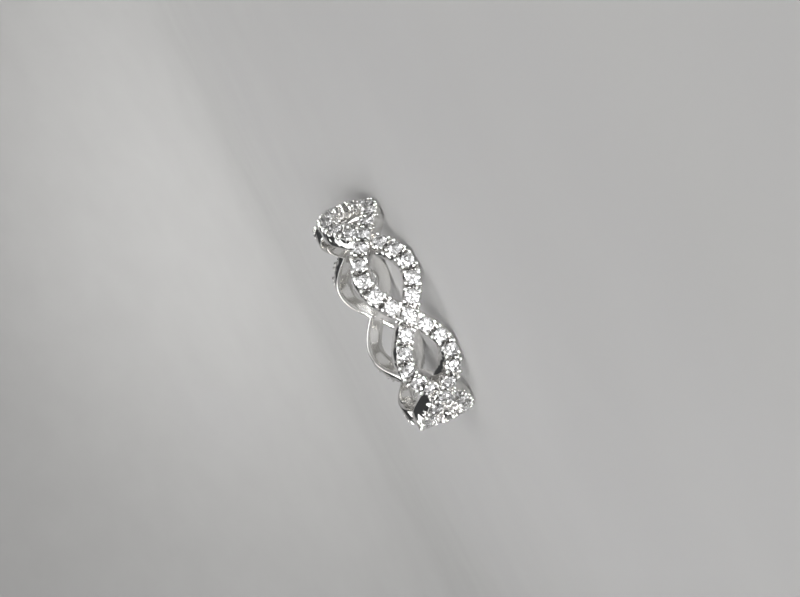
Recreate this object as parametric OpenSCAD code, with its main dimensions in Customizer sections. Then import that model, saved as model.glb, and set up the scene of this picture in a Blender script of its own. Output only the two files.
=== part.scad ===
// Infinity ring: two stone-set strands woven round a finger, lying on its side.
// Millimetres. The ring's axis is +Z, the floor it lies on is Z = 0, and +X passes through a crossing.

/* [Finger] */
// Inside diameter of the finger hole
finger_d = 16.9; // [15:0.1:18.8]

/* [Twist] */
// Waves of each strand round the ring; the two strands cross twice in each wave
waves = 4; // [3:1:5]
// How far each strand's middle line swings to either side of the ring's middle
swing = 1.85; // [1.6:0.05:2.2]
// How far a strand rises where it passes over, and sinks where it passes under
rise = 0.2; // [0.1:0.05:0.3]

/* [Strands] */
// Width of each strand
strand_w = 1.48; // [1.3:0.02:1.5]
// Metal from the finger to the top of the strand, halfway between rise and sink
wall = 1.24; // [1.1:0.02:1.6]

/* [Stones] */
// Diameter of each round stone
stone_d = 1.1; // [1:0.02:1.1]
// Least clear space between two neighbouring stones
stone_gap = 0.32; // [0.3:0.02:0.36]
// Height of the stone's widest edge above the strand's metal
stone_lift = 0.17; // [0.17:0.01:0.25]
// Clear space between each stone and the groove that it sits over
seat_gap = 0.04; // [0.02:0.01:0.06]

/* [Prongs] */
// Diameter of a prong, four of which hold each stone
prong_d = 0.28; // [0.2:0.02:0.3]
// Diameter of the prong's flat tip
prong_tip_d = 0.22; // [0.12:0.02:0.24]
// Height of the tip above the stone's widest edge
prong_over = 0.19; // [0.1:0.01:0.25]
// Clear space between the two prongs of a pair, which stands between two stones
prong_gap = 0.14; // [0.1:0.02:0.16]
// How far each prong keeps inside the strand's side
prong_inset = 0.02; // [0.01:0.01:0.04]

/* [Hidden] */

// Turn from one wave to the next; the second strand is the first one turned by half of it
wave_angle = 360 / waves;
finger_r = finger_d / 2;
metal_r = finger_r + wall;

// Round brilliant cut, as shares of the stone's diameter
table_share = 0.56;
crown_share = 0.15;
pavilion_share = 0.43;
table_sides = 8;
crown_h = stone_d * crown_share;
pavilion_h = stone_d * pavilion_share;

// The V groove down the middle of the strand clears the stones' pavilions by seat_gap
groove_depth = pavilion_h - stone_lift + seat_gap;
groove_w = stone_d * (1 - stone_lift / pavilion_h) + 2 * seat_gap;

// Sections along one wave; a crest of the wave falls midway between two of them, where it is flat
sections_per_wave = 22;
section_step = wave_angle / sections_per_wave;
prong_sides = 5;
// How deep each prong is rooted in the metal, and its whole height
prong_root = 0.1;
prong_h = prong_root + stone_lift + prong_over;

// The strand's middle line at a turn of a degrees from a place where it passes over, falling there
function swing_z(a) = -swing * sin(waves * a);
function lift(a) = rise * cos(waves * a);
function slope(a) = -atan(swing * waves * cos(waves * a) / metal_r);
function climb(a) = atan(-rise * waves * sin(waves * a) * cos(slope(a)) / metal_r);

// A point beside the middle line, at a distance across the strand and a radius from the ring's axis
function beside_angle(a, across) = a - across * sin(slope(a)) / metal_r * 180 / PI;
function beside_z(a, across) = half_width + swing_z(a) + across * cos(slope(a));

// Half the ring's width, at the two sections beside a crest, so that the ring rests on flats at Z = 0
crest_angle = wave_angle * 3 / 4 - section_step / 2;
half_width = swing_z(crest_angle) + strand_w / 2 * cos(slope(crest_angle));

// Length along the middle line, as a table of [length, angle], and the angle at a length
table_step = 0.5;
function run_per_degree(a) = metal_r / cos(slope(a)) * PI / 180;
run_table = [
    for (a = 0, run = 0; a <= wave_angle / 2 + table_step; run = run + table_step * run_per_degree(a + table_step / 2),
        a = a + table_step) [run, a]
];
half_wave_run = lookup(wave_angle / 2, [for (row = run_table) [row[1], row[0]]]);

// Stones sit at equal steps from each place where the strand passes over, but not where it passes under
steps_per_half_wave = floor(half_wave_run / (stone_d + stone_gap));
stone_pitch = half_wave_run / steps_per_half_wave;
function angle_at(run) = sign(run) * lookup(abs(run), run_table);

// Outline of the strand cut across, as [across, radius], from one foot over the top to the other foot
function outline(a) =
    let (top = metal_r + lift(a))
    let (near = [[strand_w / 2, finger_r], [strand_w / 2, top], [groove_w / 2, top]])
    concat(
        [for (p = near) [-p[0], p[1]]],
        [[0, top - groove_depth]],
        [for (i = [len(near) - 1 : -1 : 0]) near[i]]
    );

function section(a) = [
    for (p = outline(a))
        [p[1] * cos(beside_angle(a, p[0])), p[1] * sin(beside_angle(a, p[0])), beside_z(a, p[0])]
];

// One strand: the outline swept once round the ring and closed on itself
module strand() {
    rows = sections_per_wave * waves;
    points = [for (i = [0 : rows - 1]) each section(i * section_step)];
    count = len(outline(0));
    faces = [
        for (i = [0 : rows - 1], j = [0 : count - 1])
            let (next_row = (i + 1) % rows, next = (j + 1) % count)
            each [
                [i * count + j, i * count + next, next_row * count + next],
                [i * count + j, next_row * count + next, next_row * count + j]
            ]
    ];
    polyhedron(points, faces, convexity = 6);
}

// Puts its children beside the middle line, with +Z outwards and +Y along the strand
module on_strand(a, across, above) {
    rotate([0, 0, beside_angle(a, across)])
        translate([metal_r + lift(a) + above, 0, beside_z(a, across)])
            rotate([slope(a), 0, 0])
                rotate([0, 0, -climb(a)])
                    rotate([0, 90, 0])
                        children();
}

// Repeats its children at every stone of one strand, handing on the length along the wave in $run
module at_each_stone() {
    last = steps_per_half_wave - 1;
    for (wave = [0 : waves - 1], i = [-last : last]) {
        $run = i * stone_pitch;
        rotate([0, 0, wave * wave_angle]) children();
    }
}

// A tapered post
module prong() {
    translate([0, 0, -prong_root])
        hull() cylinder(d1 = prong_d, d2 = prong_tip_d, h = prong_h, $fn = prong_sides);
}

// The four prongs round a stone
module prongs() {
    across = strand_w / 2 - prong_inset - prong_d / 2;
    along = (stone_pitch - prong_d - prong_gap) / 2;
    for (way = [-1, 1], side = [-1, 1])
        on_strand(angle_at($run + way * along), side * across, 0) prong();
}

// Cast metal: both strands, fused where they cross, with their prongs
module band() {
    color("gainsboro")
        for (turn = [0, wave_angle / 2])
            rotate([0, 0, turn]) {
                strand();
                at_each_stone() prongs();
            }
}

// Round brilliant with its widest edge at Z = 0: an eight-sided table, a crown and a pointed pavilion
module stone() {
    girdle_sides = 2 * table_sides;
    table_ring = [
        for (i = [0 : table_sides - 1])
            let (turn = i * 360 / table_sides)
            [stone_d / 2 * table_share * cos(turn), stone_d / 2 * table_share * sin(turn), crown_h]
    ];
    girdle_ring = [
        for (i = [0 : girdle_sides - 1])
            let (turn = i * 360 / girdle_sides)
            [stone_d / 2 * cos(turn), stone_d / 2 * sin(turn), 0]
    ];
    points = concat(table_ring, girdle_ring, [[0, 0, -pavilion_h]]);
    culet = table_sides + girdle_sides;
    crown = [
        for (i = [0 : table_sides - 1])
            let (next = (i + 1) % table_sides)
            let (g = table_sides + 2 * i, after = table_sides + (2 * i + 2) % girdle_sides)
            each [[i, g + 1, g], [i, next, g + 1], [next, after, g + 1]]
    ];
    pavilion = [
        for (i = [0 : girdle_sides - 1])
            [culet, table_sides + i, table_sides + (i + 1) % girdle_sides]
    ];
    table = [[for (i = [table_sides - 1 : -1 : 0]) i]];
    polyhedron(points, concat(table, crown, pavilion), convexity = 2);
}

// The stones of one strand
module strand_stones() {
    at_each_stone() on_strand(angle_at($run), 0, stone_lift) stone();
}

module first_stones() {
    color("white") strand_stones();
}

module second_stones() {
    color("white") rotate([0, 0, wave_angle / 2]) strand_stones();
}

band();
first_stones();
second_stones();
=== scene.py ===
# %% [markdown]
# # An infinity ring
# Two narrow strands of white gold weave over and under each other all the way round.
# Each carries a row of small round stones, held by pairs of tiny beads. The construction
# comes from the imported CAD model, and this lesson gives it its looks: the cut of the
# metal round each stone, the beads, the facets of the stones, and the finishes.

# %% Load the ring's fixed frame
import bpy
import numpy as np
from mathutils import Matrix, Vector


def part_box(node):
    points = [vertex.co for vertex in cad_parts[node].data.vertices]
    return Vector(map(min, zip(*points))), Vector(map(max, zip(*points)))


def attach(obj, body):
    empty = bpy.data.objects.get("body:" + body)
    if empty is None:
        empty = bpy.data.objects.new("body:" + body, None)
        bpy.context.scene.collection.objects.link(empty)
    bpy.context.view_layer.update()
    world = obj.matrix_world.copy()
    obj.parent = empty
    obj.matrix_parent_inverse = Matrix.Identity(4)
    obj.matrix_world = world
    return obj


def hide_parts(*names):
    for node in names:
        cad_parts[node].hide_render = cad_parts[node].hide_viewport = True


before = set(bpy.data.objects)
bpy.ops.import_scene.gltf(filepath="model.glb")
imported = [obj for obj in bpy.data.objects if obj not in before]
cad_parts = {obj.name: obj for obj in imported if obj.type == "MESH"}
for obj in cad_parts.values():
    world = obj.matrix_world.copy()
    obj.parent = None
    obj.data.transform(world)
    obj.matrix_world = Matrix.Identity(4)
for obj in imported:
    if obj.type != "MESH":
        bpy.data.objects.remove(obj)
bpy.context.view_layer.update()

mm = 0.001
band_low, band_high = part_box("band")
half_width = band_high.z / 2      # half the ring's width, and so its centre's height
print("band, in mm:", [round(v / mm, 2) for v in (*band_low, *band_high)])

# %% [markdown]
# ## The camera
# The ring lies on its side, so its axis points straight up. The photograph looks at it
# almost level, a little from above, and turned far over to one side. Three square
# directions say that exactly: what is right, what is up, and what points to the camera.
# A small shift of the lens puts the ring where it is in the picture, a little off centre.

# %% Put the camera where the photograph was taken
picture_width, picture_height = 800, 597
ring_pixel = (391.3, 314.25)      # where the ring's centre is in the picture
camera_distance = 83.3 * mm
pixels_at_ring = 11835.0          # pixels that one metre takes up at the ring's centre
sensor_width = 36.0

right = np.array([0.13791, -0.44494, -0.88487])
up = np.array([-0.01027, 0.89272, -0.45049])
toward = np.cross(right, up)
ring_centre = np.array([0.0, 0.0, half_width])
eye = ring_centre + camera_distance * toward
view_axes = np.column_stack([right, up, toward])

camera_data = bpy.data.cameras.new("camera")
camera_data.sensor_width = sensor_width
camera_data.lens = pixels_at_ring * camera_distance / picture_width * sensor_width
camera_data.shift_x = (picture_width / 2 - ring_pixel[0]) / picture_width
camera_data.shift_y = (ring_pixel[1] - picture_height / 2) / picture_width
camera_data.clip_start = 2 * mm
camera_data.clip_end = 5.0
camera = bpy.data.objects.new("camera", camera_data)
camera.matrix_world = Matrix(
    [[*row, place] for row, place in zip(view_axes.tolist(), eye.tolist())] + [[0, 0, 0, 1]]
)
bpy.context.scene.collection.objects.link(camera)
bpy.context.scene.camera = camera
print("lens, in mm:", round(camera_data.lens, 2))

# %% [markdown]
# ## The path of a strand
# Seen along the ring, a strand is a wave: its height swings from side to side four times
# round the ring. It also rises a little where it passes over the other strand and sinks
# where it passes under. Both are plain sine and cosine waves, so whole arrays of points
# come from one line each. The second strand is the first one turned by half a wave.

# %% The wave that both strands follow
waves = 4
half_wave = np.pi / waves         # as a turn round the ring, in radians
full_wave = 2 * half_wave
swing = 1.85 * mm                 # how far the middle line swings to each side
rise = 0.2 * mm                   # how far it rises and sinks
strand_width = 1.48 * mm
hole_radius = 8.45 * mm           # from the axis to the strands' inner faces
metal_radius = 9.69 * mm          # to the top of the metal, halfway between rise and sink


def path_slope(turn):
    """The middle line's slope, as an angle. Its height is minus the swing times a sine wave, and
    the slope is the arc tangent of how fast that changes with the length round the ring."""
    return -np.arctan(swing * waves * np.cos(waves * turn) / metal_radius)


def path_radius(turn):
    """Radius of the metal's top: the middle radius plus the rise times a cosine wave."""
    return metal_radius + rise * np.cos(waves * turn)


def beside_path(turn, across, radius, start):
    """Points at a distance across the strand and at a radius from the axis. The distance is square
    to the middle line, so its share by the slope's cosine is added to the height, and its share
    by the slope's sine is taken from the length round the ring."""
    slope = path_slope(turn)
    angle = start + turn - across * np.sin(slope) / metal_radius
    height = half_width - swing * np.sin(waves * turn) + across * np.cos(slope)
    return np.stack([radius * np.cos(angle), radius * np.sin(angle), height], axis=-1)


print("steepest slope, in degrees:", round(float(np.degrees(-path_slope(0))), 1))

# %% Measure lengths along the wave
table_steps = 4000                # of the table of lengths, in half a wave
table_turn = np.linspace(0, half_wave, table_steps + 1)
step_slope = path_slope((table_turn[1:] + table_turn[:-1]) / 2)
step_length = metal_radius / np.cos(step_slope) * np.diff(table_turn)
table_length = np.concatenate([[0], np.cumsum(step_length)])
half_wave_length = table_length[-1]


def turn_at(length):
    """The turn at a length from the place where the strand passes over, read from the table."""
    return np.sign(length) * np.interp(np.abs(length), table_length, table_turn)


print("half a wave, in mm:", round(half_wave_length / mm, 3))

# %% [markdown]
# ## Where the stones and beads go
# The jeweller spaces the stones evenly, starting from the top of each crossing, and sets
# none where the strand dives under the other. Between two stones, on each side, stand two
# beads, each pushed over towards its own stone.

# %% Space the stones and the beads
stone_diameter = 1.10 * mm
stone_radius = stone_diameter / 2
stone_lift = 0.17 * mm            # from the metal's top to the stone's widest edge
steps = 6                         # steps of the setting in half a wave
stone_pitch = half_wave_length / steps
stone_length = np.arange(-(steps - 1), steps) * stone_pitch
stone_turn = turn_at(stone_length)

bead_across = 0.58 * mm           # from the middle line to a bead
bead_spacing = 0.42 * mm          # between the two beads of a pair
bead_along = (stone_pitch - bead_spacing) / 2      # from a stone to its beads
print("stones:", 2 * waves * len(stone_length), "at every", round(stone_pitch / mm, 3), "mm")

# %% [markdown]
# ## Helpers that put arrays into Blender
# A mesh is a list of points and lists of faces. `foreach_set` gives Blender whole arrays
# at once, which is fast and keeps loops over points out of the script. The order of a
# face's corners matters: seen from outside the piece they run against the clock, which
# makes the face point outwards.


# %% Turn arrays into a mesh object
def make_object(name, points, face_arrays, material, smooth):
    """One object from points (n x 3) and a list of face arrays, each with one number of
    corners."""
    mesh = bpy.data.meshes.new(name)
    corners = np.concatenate([faces.ravel() for faces in face_arrays])
    totals = np.concatenate([np.full(len(faces), faces.shape[1]) for faces in face_arrays])
    starts = np.cumsum(totals) - totals
    mesh.vertices.add(len(points))
    mesh.vertices.foreach_set("co", np.asarray(points, np.float32).ravel())
    mesh.loops.add(len(corners))
    mesh.loops.foreach_set("vertex_index", corners.astype(np.int32))
    mesh.polygons.add(len(totals))
    mesh.polygons.foreach_set("loop_start", starts.astype(np.int32))
    mesh.polygons.foreach_set("use_smooth", np.full(len(totals), smooth))
    mesh.update(calc_edges=True)
    mesh.validate()
    mesh.materials.append(material)
    made = bpy.data.objects.new(name, mesh)
    bpy.context.scene.collection.objects.link(made)
    print(f"{name}: {len(points)} points, {int(np.sum(totals - 2))} triangles")
    return made


def keep_number(piece, name, values):
    """Keeps one number for each point of a piece under a name that its material can read."""
    kept = piece.data.attributes.new(name, "FLOAT", "POINT")
    kept.data.foreach_set("value", np.asarray(values, np.float32).ravel())


def join_corners(*corners):
    """Faces from the point numbers of their corners, given as one array or number a corner."""
    return np.stack(np.broadcast_arrays(*corners), axis=-1).reshape(-1, len(corners))


def grid_faces(rows, columns, rows_close=True):
    """Four-cornered faces of a grid of points. Its columns close on themselves, and so do its
    rows where the surface goes all the way round, as on a ring."""
    last_row = rows if rows_close else rows - 1
    row, column = np.meshgrid(np.arange(last_row), np.arange(columns), indexing="ij")
    here, after = row * columns, (row + 1) % rows * columns
    beside = (column + 1) % columns
    return join_corners(here + column, after + column, after + beside, here + beside)


# %% [markdown]
# ## White gold
# The metal is cast, polished and plated white. Polish is never perfect: under a lens it
# shows a faint cloudiness and fine marks, so noise stirs the roughness a little and a
# second, finer noise tilts the surface by a hair. Towards the bottoms of the cuts the metal
# turns dull and its colour dark: the dark colour is painted shade, for the shadow that falls
# in the deep cuts. The strands carry a number at each point that says how deep in a cut it
# is, and the material turns from polished to dull and painted dark by it. The beads carry
# no such number, which counts as none, so they are polished all over.

# %% Helpers for every finish
noise_low, noise_high = 0.3, 0.7  # nearly all the values of a noise lie between these


def new_material(name):
    """A node material with its shader, ready to be wired."""
    material = bpy.data.materials.new(name)
    material.use_nodes = True
    nodes = material.node_tree.nodes
    return material, nodes, material.node_tree.links, nodes["Principled BSDF"]


def noise_on_object(nodes, links, scale, detail):
    """Noise laid over the piece's own coordinates, with a scale in specks for each metre."""
    coordinates = nodes.new("ShaderNodeTexCoord")
    noise = nodes.new("ShaderNodeTexNoise")
    noise.inputs["Scale"].default_value = scale
    noise.inputs["Detail"].default_value = detail
    links.new(coordinates.outputs["Object"], noise.inputs["Vector"])
    return noise.outputs["Fac"]


def tint_by(nodes, links, noise, low, high):
    """A colour that goes evenly from low to high as the noise goes from 0 to 1."""
    ramp = nodes.new("ShaderNodeValToRGB")
    ramp.color_ramp.elements[0].color = (*low, 1)
    ramp.color_ramp.elements[1].color = (*high, 1)
    links.new(noise, ramp.inputs["Fac"])
    return ramp.outputs["Color"]


def number_by(nodes, links, noise, low, high):
    """A number that goes evenly from low to high over the values that the noise really has."""
    remap = nodes.new("ShaderNodeMapRange")
    remap.inputs["From Min"].default_value = noise_low
    remap.inputs["From Max"].default_value = noise_high
    remap.inputs["To Min"].default_value = low
    remap.inputs["To Max"].default_value = high
    links.new(noise, remap.inputs["Value"])
    return remap.outputs["Result"]


def change_in_cuts(nodes, links, kind, polished, in_cuts):
    """The polished value all over, turning to another value towards the bottoms of the cuts, by
    the number that the strands carry."""
    depth = nodes.new("ShaderNodeAttribute")
    depth.attribute_name = "shade_and_dull"
    mix = nodes.new("ShaderNodeMix")
    mix.data_type = kind
    links.new(depth.outputs["Fac"], mix.inputs["Factor"])
    links.new(polished, mix.inputs["A"])
    mix.inputs["B"].default_value = in_cuts
    return mix.outputs["Result"]


# %% Make the white gold
white_gold, nodes, links, shader = new_material("white_gold")
shader.inputs["Metallic"].default_value = 1.0
clouds = noise_on_object(nodes, links, scale=900.0, detail=3.0)
metal_tint = tint_by(nodes, links, clouds, (0.80, 0.79, 0.77), (0.90, 0.895, 0.88))
# Painted shade: the colour turns dark towards the bottoms of the cuts, where shadow falls
metal_colour = change_in_cuts(nodes, links, "RGBA", metal_tint, (0.32, 0.315, 0.31, 1))
links.new(metal_colour, shader.inputs["Base Color"])
polish = number_by(nodes, links, clouds, 0.05, 0.12)
links.new(change_in_cuts(nodes, links, "FLOAT", polish, 0.25), shader.inputs["Roughness"])
bump = nodes.new("ShaderNodeBump")
bump.inputs["Strength"].default_value = 0.08
bump.inputs["Distance"].default_value = 0.01 * mm
marks = noise_on_object(nodes, links, scale=9000.0, detail=2.0)
links.new(marks, bump.inputs["Height"])
links.new(bump.outputs["Normal"], shader.inputs["Normal"])
print("material:", white_gold.name)

# %% [markdown]
# ## The strands
# A strand is a closed outline carried round the wave. Its inside is smooth and its inner
# corners are rounded, so that the ring slides on easily. The setter cuts its top: a cone
# for each stone, a notch in the edge beside each stone, and a crossed pair of V cuts between
# two stones, which leaves four shoulders standing for the beads. The cut is a height over
# the flat top, worked out for every point from its distance to the stones and beads.


# %% Roll the ring's surface out flat, to measure distances on it
def on_flat_surface(turn, across):
    """The surface rolled out flat: length round the ring, and height, of points beside the path."""
    slope = path_slope(turn)
    return np.stack([
        metal_radius * turn - across * np.sin(slope),
        -swing * np.sin(waves * turn) + across * np.cos(slope),
    ], axis=-1)


def from_places(point, places):
    """Distances along the strand and across it, on the flat surface, from each place to each
    point: the way between them, turned by the slope at the place."""
    way = point[..., None, :] - on_flat_surface(places, 0.0)
    slope = path_slope(places)
    return (way[..., 0] * np.cos(slope) + way[..., 1] * np.sin(slope),
            way[..., 1] * np.cos(slope) - way[..., 0] * np.sin(slope))


def bead_places():
    """Turn, distance across, and the way along and across to its stone, of every bead in one
    wave."""
    length, way, side = np.meshgrid(stone_length, [-1, 1], [-1, 1], indexing="ij")
    turn = turn_at(length + way * bead_along)
    return turn.ravel(), (side * bead_across).ravel(), -way.ravel(), -side.ravel()


def soft_step(low, high, value):
    """Goes smoothly from 0 at low to 1 at high: three squares of the share less two cubes."""
    share = np.clip((value - low) / (high - low), 0, 1)
    return share * share * (3 - 2 * share)


def bell(distance, size):
    """Falls from 1 at no distance to 0.37 at the size: e to minus the square of their ratio."""
    return np.exp(-(distance / size) ** 2)


print("beads:", 2 * waves * len(bead_places()[0]))

# %% Cut the top of the metal
seat_slope = 0.86                 # the stone's lower cone: its depth over its radius
seat_clearance = 0.03 * mm
notch_depth = 0.13 * mm
notch_length = 0.27 * mm          # the size of its bell along the strand
notch_start, notch_full = 0.36 * mm, 0.56 * mm     # across, where it begins and is deepest
notch_bite = 0.07 * mm            # how far it narrows the top on each side
edge_inset = 0.08 * mm            # how far the top's edge lies inside the strand's side
shoulder_height = 0.10 * mm
shoulder_size = 0.17 * mm         # the size of its bell round a bead
split_depth = 0.36 * mm           # the V cuts that part the four beads between two stones
split_half_width = 0.18 * mm
split_along, split_across = 0.5 * mm, 0.9 * mm     # past these a pair of V cuts has ended
edge_start, edge_full = 0.4 * mm, 0.6 * mm         # across, where the crossing cut gets shallow
edge_loss = 0.5                   # the share of its depth that it loses there
between_stones = turn_at((np.arange(-(steps - 1), steps - 1) + 0.5) * stone_pitch)


def v_cuts(point):
    """Share of the V cuts' depth: one across the strand and one along it between two stones, each
    deepest on its line and rising evenly to nothing at split_half_width."""
    along, across = np.abs(from_places(point, between_stones))
    near = (along < split_along) & (across < split_across)
    shallower = 1 - edge_loss * soft_step(edge_start, edge_full, across)
    crossing = np.clip(1 - along / split_half_width, 0, 1) * shallower
    lengthwise = np.clip(1 - across / split_half_width, 0, 1)
    return np.max(np.where(near, np.maximum(crossing, lengthwise), 0), axis=-1)


def cut_height(turn, across):
    """Height over the flat top: shoulders at the beads, less the V cuts and the notches beside the
    stones, and never above the cone of the nearest stone."""
    point = on_flat_surface(turn, across)
    along, aside = from_places(point, stone_turn)
    from_stone = np.min(np.hypot(along, aside), axis=-1)
    at_edge = soft_step(notch_start, notch_full, np.abs(across))
    notch = np.max(bell(along, notch_length), axis=-1) * at_edge
    bead_turn, bead_side = bead_places()[:2]
    from_bead = point[..., None, :] - on_flat_surface(bead_turn, bead_side)
    shoulder = np.max(bell(np.linalg.norm(from_bead, axis=-1), shoulder_size), axis=-1)
    cone = stone_lift - seat_clearance - seat_slope * (stone_radius - from_stone)
    top = shoulder_height * shoulder - notch_depth * notch - split_depth * v_cuts(point)
    return np.minimum(top, cone)


def half_width_at_top(turn):
    """Half the strand's width at its top: narrower beside each stone, where the notch bites
    in."""
    from_stone = (turn[:, None] - stone_turn) * metal_radius / np.cos(path_slope(turn))[:, None]
    bite = np.max(bell(from_stone, notch_length), axis=-1)
    return strand_width / 2 - edge_inset - notch_bite * bite


narrowest = 2 * float(half_width_at_top(stone_turn).min())
print("the top's narrowest, in mm:", round(narrowest / mm, 3))

# %% Carry the outline round the ring
stations_in_wave = 480
top_points = 25
top_corner = 0.04 * mm            # rounding between the top and the sides
corner_share = 0.3                # of it, how far in and down its middle point lies
side_depth = np.array([0.0, 0.08, 0.18, 0.34, 0.62]) * mm      # of the points on a side
side_full = 0.34 * mm             # depth at which a side has the strand's full width
inner_corner = 0.12 * mm          # rounding between the sides and the inner face
inner_bend = np.radians([90, 55, 25, 0])           # of its points, round its centre
inner_share = 0.5                 # where the inner face's point is, from its middle to its corner
# The dullness set here is also painted shade: the same numbers darken the metal's colour in the
# cuts
shade_and_dull_start, shade_and_dull_full = 0.02 * mm, 0.34 * mm       # depths of cut where dullness begins and is full
# How much of the dullness and painted shade at the top's edge each point has, from there down to
# the inner face
shade_and_dull_down_side = np.array([1, 1, 0.8, 0.4, 0, 0, 0, 0, 0, 0, 0])


def strand_points(start):
    """One strand's surface: for each station along the wave, the outline's points over the cut top,
    down one side, across the inner face and up the other side, and how deep in a cut each of
    them is, from 0 to 1, which makes the metal there dull and painted dark as shade."""
    length = (np.arange(stations_in_wave) / stations_in_wave * 2 - 1) * half_wave_length
    turn = turn_at(length)
    top_half = half_width_at_top(turn)[:, None]
    across_top = np.linspace(-1, 1, top_points) * (top_half - top_corner)
    cut = cut_height(turn[:, None], across_top)
    radius_top = path_radius(turn)[:, None] + cut
    # Painted shade and dullness: the deeper the cut, the darker the colour and the rougher the
    # metal
    shade_and_dull_top = soft_step(shade_and_dull_start, shade_and_dull_full, -cut)

    every = (len(turn), 1)
    edge_half = top_half - corner_share * top_corner
    side_half = top_half + (strand_width / 2 - top_half) * soft_step(0, side_full, side_depth)
    foot_half = np.tile(strand_width / 2 - inner_corner * (1 - np.sin(inner_bend)), every)
    foot_radius = np.tile(hole_radius + inner_corner * (1 - np.cos(inner_bend)), every)
    inner_half = np.full(every, (strand_width / 2 - inner_corner) * inner_share)
    inner_radius = np.full(every, hole_radius)

    down_half = np.concatenate([edge_half, side_half, foot_half, inner_half], axis=1)
    down_right, down_left = (np.concatenate([
        edge - corner_share * top_corner, edge - top_corner - side_depth, foot_radius, inner_radius,
    ], axis=1) for edge in (radius_top[:, -1:], radius_top[:, :1]))
    across = np.concatenate([across_top, down_half, -down_half[:, ::-1]], axis=1)
    radius = np.concatenate([radius_top, down_right, down_left[:, ::-1]], axis=1)
    shade_and_dull = np.concatenate([
        shade_and_dull_top, shade_and_dull_top[:, -1:] * shade_and_dull_down_side, shade_and_dull_top[:, :1] * shade_and_dull_down_side[::-1],
    ], axis=1)

    wave_start = start + np.arange(waves) * full_wave
    points = np.concatenate([
        beside_path(turn[:, None], across, radius, at) for at in wave_start
    ])
    # The wave's crests are flat, so that the ring lies on them
    points[..., 2] = np.clip(points[..., 2], 0, 2 * half_width)
    return points, np.tile(shade_and_dull, (waves, 1))


for name, start in (("first_strand", 0.0), ("second_strand", half_wave)):
    points, shade_and_dull = strand_points(start)
    faces = [grid_faces(*points.shape[:2])]
    strand = make_object(name, points.reshape(-1, 3), faces, white_gold, smooth=True)
    keep_number(strand, "shade_and_dull", shade_and_dull)
    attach(strand, "root")
    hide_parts("band")

# %% [markdown]
# ## The beads
# The setter raises a small post of metal and rounds it with a hollow punch, so that its
# head bulges over the stone's edge. One profile turned round makes the bead, and it leans
# towards its stone as it rises.

# %% A frame of directions for anything that stands on a strand
def frames_on_strand(turn, across, above, start):
    """Place, and the directions along, across and outwards, of things that stand on the strand.
    The directions round the ring and up are turned by the slope, and then by the climb, the arc
    tangent of how fast the radius changes along the strand."""
    slope = path_slope(turn)
    climb = np.arctan(-rise * waves * np.sin(waves * turn) * np.cos(slope) / metal_radius)
    angle = start + turn - across * np.sin(slope) / metal_radius
    zero, one = np.zeros_like(angle), np.ones_like(angle)
    outwards = np.stack([np.cos(angle), np.sin(angle), zero], axis=-1)
    round_ring = np.stack([-np.sin(angle), np.cos(angle), zero], axis=-1)
    upwards = np.stack([zero, zero, one], axis=-1)
    level = np.cos(slope)[:, None] * round_ring + np.sin(slope)[:, None] * upwards
    beside = -np.sin(slope)[:, None] * round_ring + np.cos(slope)[:, None] * upwards
    along = np.cos(climb)[:, None] * level + np.sin(climb)[:, None] * outwards
    out = np.cos(climb)[:, None] * outwards - np.sin(climb)[:, None] * level
    place = beside_path(turn, across, path_radius(turn) + above, start)
    return place, np.stack([along, beside, out], axis=1)


# %% Turn the beads
bead_sides = 10
bead_profile = np.array([         # height over the metal's top, and radius, in mm
    [-0.10, 0.150], [0.04, 0.146], [0.12, 0.153], [0.19, 0.174],
    [0.25, 0.186], [0.31, 0.155], [0.345, 0.085],
]) * mm
bead_top = 0.36 * mm
bead_lean = 0.06 * mm             # how far the head leans towards its stone
lean_height = 0.3 * mm            # the height at which it has leaned that far


def bead_points(start):
    """Every bead of one strand in one wave: rings of the profile and a tip, shifted to the stone
    by a soft step of their height."""
    turn, across, to_along, to_across = bead_places()
    place, axes = frames_on_strand(turn, across, 0.0, start)
    round_bead = np.arange(bead_sides) * 2 * np.pi / bead_sides
    height = np.append(bead_profile[:, 0], bead_top)
    radius = np.append(bead_profile[:, 1], 0.0)
    shift = bead_lean * soft_step(0, lean_height, height) / np.sqrt(2)
    x = radius[:, None] * np.cos(round_bead) + (shift * to_along[:, None])[..., None]
    y = radius[:, None] * np.sin(round_bead) + (shift * to_across[:, None])[..., None]
    z = np.broadcast_to(height[:, None], x.shape)
    local = np.stack([x, y, z], axis=-1)
    rings = place[:, None, None] + np.einsum("brsk,bkj->brsj", local, axes)
    tips = rings[:, -1, :1]
    return np.concatenate([rings[:, :-1].reshape(len(turn), -1, 3), tips], axis=1)


def bead_faces():
    """Faces of one bead: bands of four-cornered faces, a fan of triangles at the tip, and a
    foot."""
    rings = len(bead_profile)
    row, side = np.meshgrid(np.arange(rings - 1), np.arange(bead_sides), indexing="ij")
    lower, upper, after = row * bead_sides, (row + 1) * bead_sides, (side + 1) % bead_sides
    bands = join_corners(lower + side, lower + after, upper + after, upper + side)
    side = np.arange(bead_sides)
    last = (rings - 1) * bead_sides
    tip = join_corners(last + side, last + (side + 1) % bead_sides, last + bead_sides)
    foot = side[::-1][None, :]
    return [bands, tip, foot]


def repeat_faces(face_arrays, copies, points_each):
    """The same faces for every copy, with each copy's own point numbers."""
    offset = np.arange(copies)[:, None, None] * points_each
    return [(faces[None] + offset).reshape(-1, faces.shape[1]) for faces in face_arrays]


for name, start in (("first_beads", 0.0), ("second_beads", half_wave)):
    points = np.concatenate([bead_points(start + wave * full_wave) for wave in range(waves)])
    faces = repeat_faces(bead_faces(), len(points), points.shape[1])
    beads = make_object(name, points.reshape(-1, 3), faces, white_gold, smooth=True)
    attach(beads, "root")
    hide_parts("band")

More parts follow.
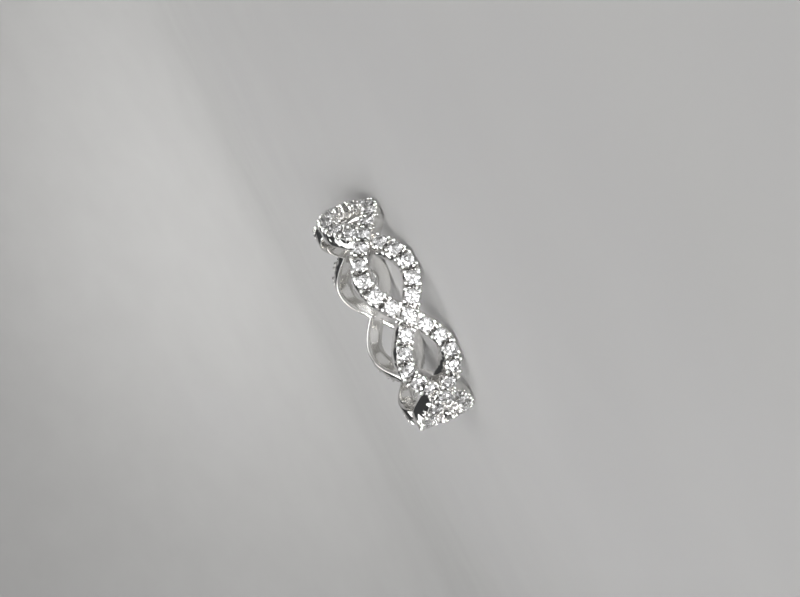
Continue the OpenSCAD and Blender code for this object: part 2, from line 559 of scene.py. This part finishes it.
# %% [markdown]
# ## The stones
# Each stone is a round brilliant: a flat eight-sided table on top, a crown of star, kite
# and half facets, a thin edge, and a pointed pavilion below. Its angles are chosen so that
# light which comes in at the top is thrown back out at the top, so here they are the real
# ones. A facet must be flat, so the corners between the kites are placed on their planes.
# The thin edge isn't counted in that, which leaves the facets flat to 0.002 mm.

# %% Cut one round brilliant
table_sides = 8                   # kites and stars too; the widest edge has twice as many
half_side = 180 / table_sides     # half the turn from one to the next, in degrees
table_share = 0.56                # the table's radius, as a share of the stone's
crown_height = 0.15 * stone_diameter
pavilion_depth = 0.43 * stone_diameter
edge_height = 0.012 * stone_diameter
crown_corner = 0.80               # how far out the stars' tips lie, as a share of the radius
pavilion_corner = 0.25            # and the tips of the half facets below the widest edge


def ring_at(radius, height, first, count):
    """Points evenly round the stone's axis, from a first angle in degrees."""
    angle = np.radians(first + np.arange(count) * 360 / count)
    height = np.full(count, height)
    return np.stack([radius * np.cos(angle), radius * np.sin(angle), height], axis=-1)


def brilliant():
    """Points and faces of one brilliant whose widest edge is at height 0. A tip between two kites
    is as high as their planes are at its radius times the cosine of half a side."""
    lean = np.cos(np.radians(half_side))
    star_height = crown_height * (1 - crown_corner * lean) / (1 - table_share)
    deep_height = -pavilion_depth * (1 - pavilion_corner * lean)
    points = np.concatenate([
        ring_at(stone_radius * table_share, crown_height, 0, table_sides),
        ring_at(stone_radius * crown_corner, star_height, half_side, table_sides),
        ring_at(stone_radius, edge_height / 2, 0, 2 * table_sides),
        ring_at(stone_radius, -edge_height / 2, 0, 2 * table_sides),
        ring_at(stone_radius * pavilion_corner, deep_height, half_side, table_sides),
        [[0, 0, -pavilion_depth]],
    ])
    # The number of each ring's first point, in the same order
    table, star, top, low, deep, culet = np.cumsum(np.array([0, 1, 1, 2, 2, 1]) * table_sides)
    k = np.arange(table_sides)
    nxt, prev = (k + 1) % table_sides, (k - 1) % table_sides
    side = np.arange(2 * table_sides)
    after = (side + 1) % (2 * table_sides)
    main, middle, later = 2 * k, 2 * k + 1, (2 * k + 2) % (2 * table_sides)
    triangles = np.concatenate([
        join_corners(table + k, star + k, table + nxt),
        join_corners(star + k, top + main, top + middle),
        join_corners(star + k, top + middle, top + later),
        join_corners(deep + k, low + middle, low + main),
        join_corners(deep + k, low + later, low + middle),
    ])
    fours = np.concatenate([
        join_corners(table + k, star + prev, top + main, star + k),
        join_corners(top + side, low + side, low + after, top + after),
        join_corners(culet, deep + k, low + main, deep + prev),
    ])
    return points, [triangles, fours, (table + k)[None, :]]


cut_points, cut_faces = brilliant()
print("facets of one stone:", sum(len(faces) for faces in cut_faces))

# %% [markdown]
# ## Clear stone
# A clear stone bends light far more than window glass does. The shader is smooth glass
# with a high index of refraction, and a trace of haze in its colour.

# %% Make the clear stone
clear_stone, nodes, links, shader = new_material("clear_stone")
shader.inputs["Roughness"].default_value = 0.0
shader.inputs["IOR"].default_value = 2.2
shader.inputs["Transmission Weight"].default_value = 1.0
haze = noise_on_object(nodes, links, scale=1500.0, detail=2.0)
stone_tint = tint_by(nodes, links, haze, (0.96, 0.965, 0.97), (1.0, 1.0, 1.0))
links.new(stone_tint, shader.inputs["Base Color"])
print("material:", clear_stone.name)

# %% [markdown]
# ## Setting the stones
# No setter lines up the facets of one stone with the next, and none sits perfectly level.
# Each stone gets its own turn about its axis and a small tilt, from a seeded random
# number generator, so that every run is the same and each stone sparkles in its own way.

# %% Set the stones
chance = np.random.default_rng(7)
most_tilt = np.radians(2.0)


def turned_axes(axes):
    """Turns each stone about its own axis by any angle, then tilts it a little: the axis gets the
    tangent of the tilt of a direction beside it, and the others are squared to it again."""
    count = len(axes)
    spin, lean_way = chance.uniform(0, 2 * np.pi, (2, count))
    tilt = chance.uniform(0, most_tilt, count)
    along = np.cos(spin)[:, None] * axes[:, 0] + np.sin(spin)[:, None] * axes[:, 1]
    out = axes[:, 2] + np.tan(tilt)[:, None] * (
        np.cos(lean_way)[:, None] * axes[:, 0] + np.sin(lean_way)[:, None] * axes[:, 1])
    out /= np.linalg.norm(out, axis=-1, keepdims=True)
    across = np.cross(out, along)
    across /= np.linalg.norm(across, axis=-1, keepdims=True)
    return np.stack([np.cross(across, out), across, out], axis=1)


for name, node, start in (
    ("first_row", "first_stones", 0.0),
    ("second_row", "second_stones", half_wave),
):
    starts = start + np.repeat(np.arange(waves), len(stone_turn)) * full_wave
    turns = np.tile(stone_turn, waves)
    place, axes = frames_on_strand(turns, np.zeros_like(turns), stone_lift, starts)
    points = place[:, None] + np.einsum("pk,skj->spj", cut_points, turned_axes(axes))
    faces = repeat_faces(cut_faces, len(points), len(cut_points))
    row = make_object(name, points.reshape(-1, 3), faces, clear_stone, smooth=False)
    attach(row, "root")
    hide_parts(node)

# %% [markdown]
# ## The studio
# The ring lies in a wide pale bowl, flat in the middle and curving up all round, so that
# no edge of a table or corner of a room shows from any side. The bowl is one profile
# turned round the ring's axis.

# %% Build the pale bowl
bowl_hub = 1e-4                   # radius of the small disc that closes the middle
bowl_flat = 0.16                  # radius of the flat part
bowl_curve = 0.22                 # radius of the curve round it
bowl_wall = 0.02                  # height of the straight wall above the curve
bowl_drop = 0.01 * mm             # how far the floor lies under the ring
bowl_bends, bowl_rounds = 24, 128


def bowl_points():
    """The bowl's profile turned round: flat, then a quarter of a circle, then a straight wall."""
    bend = np.radians(np.linspace(0, 90, bowl_bends))
    wall = bowl_wall * np.array([0.25, 0.5, 0.75, 1.0])
    radius = np.concatenate([
        [bowl_hub, bowl_flat / 3, bowl_flat * 2 / 3], bowl_flat + bowl_curve * np.sin(bend),
        np.full(len(wall), bowl_flat + bowl_curve),
    ])
    height = np.concatenate([
        np.zeros(3), bowl_curve * (1 - np.cos(bend)), bowl_curve + wall,
    ]) - bowl_drop
    angle = np.arange(bowl_rounds) * 2 * np.pi / bowl_rounds
    return np.stack(np.broadcast_arrays(
        radius[:, None] * np.cos(angle), radius[:, None] * np.sin(angle), height[:, None],
    ), axis=-1)


paper, nodes, links, shader = new_material("pale_paper")
grain = noise_on_object(nodes, links, scale=60.0, detail=4.0)
paper_tint = tint_by(nodes, links, grain, (0.30, 0.297, 0.292), (0.33, 0.327, 0.322))
links.new(paper_tint, shader.inputs["Base Color"])
shader.inputs["Roughness"].default_value = 0.85

points = bowl_points()
hub = np.arange(bowl_rounds)[None, :]
faces = [grid_faces(*points.shape[:2], rows_close=False), hub]
bowl = make_object("bowl", points.reshape(-1, 3), faces, paper, smooth=True)

# %% [markdown]
# ## Light
# Jewellery needs soft light for the metal and a few small bright sources for the stones,
# which throw those back as sparkle. Two more lights even out the paper, and a plain
# world fills the shadows.

# %% Hang the lights
def hang_light(name, place, aim, width, height, watts, cone=180):
    """A rectangle of light at a place, facing the point that it is aimed at. Its light goes out
    in a cone of so many degrees."""
    data = bpy.data.lights.new(name, "AREA")
    data.shape = "RECTANGLE"
    data.size, data.size_y = width, height
    data.energy = watts
    data.spread = np.radians(cone)
    lamp = bpy.data.objects.new(name, data)
    lamp.location = place
    lamp.rotation_euler = (Vector(place) - Vector(aim)).to_track_quat("Z", "Y").to_euler()
    bpy.context.scene.collection.objects.link(lamp)


middle_of_ring = (0.0, 0.0, half_width)
over_ring = (0.0, 0.0, 25 * mm)   # the front light aims here, to keep its beam off the floor
hang_light("soft_box", (0.28, 0.03, 0.17), middle_of_ring, 0.40, 0.30, 0.45)
hang_light("front_light", (0.24, -0.04, 0.058), over_ring, 0.10, 0.06, 0.07, cone=30)
hang_light("side_light", (0.16, -0.22, 0.20), middle_of_ring, 0.04, 0.14, 0.05)
hang_light("left_spark", (0.30, -0.06, 0.18), middle_of_ring, 0.02, 0.02, 0.35)
hang_light("right_spark", (0.26, 0.10, 0.14), middle_of_ring, 0.02, 0.02, 0.2)
hang_light("ceiling_light", (-0.12, -0.15, 0.36), (-0.15, 0.0, 0.0), 0.30, 0.30, 0.75)
hang_light("wall_light", (-0.02, 0.20, 0.28), (-0.26, 0.0, 0.0), 0.20, 0.30, 0.3, cone=80)

world = bpy.data.worlds.new("world")
bpy.context.scene.world = world
world.use_nodes = True
background = world.node_tree.nodes["Background"]
background.inputs["Color"].default_value = (0.80, 0.82, 0.85, 1)
background.inputs["Strength"].default_value = 0.06
bpy.context.scene.view_settings.view_transform = "Standard"
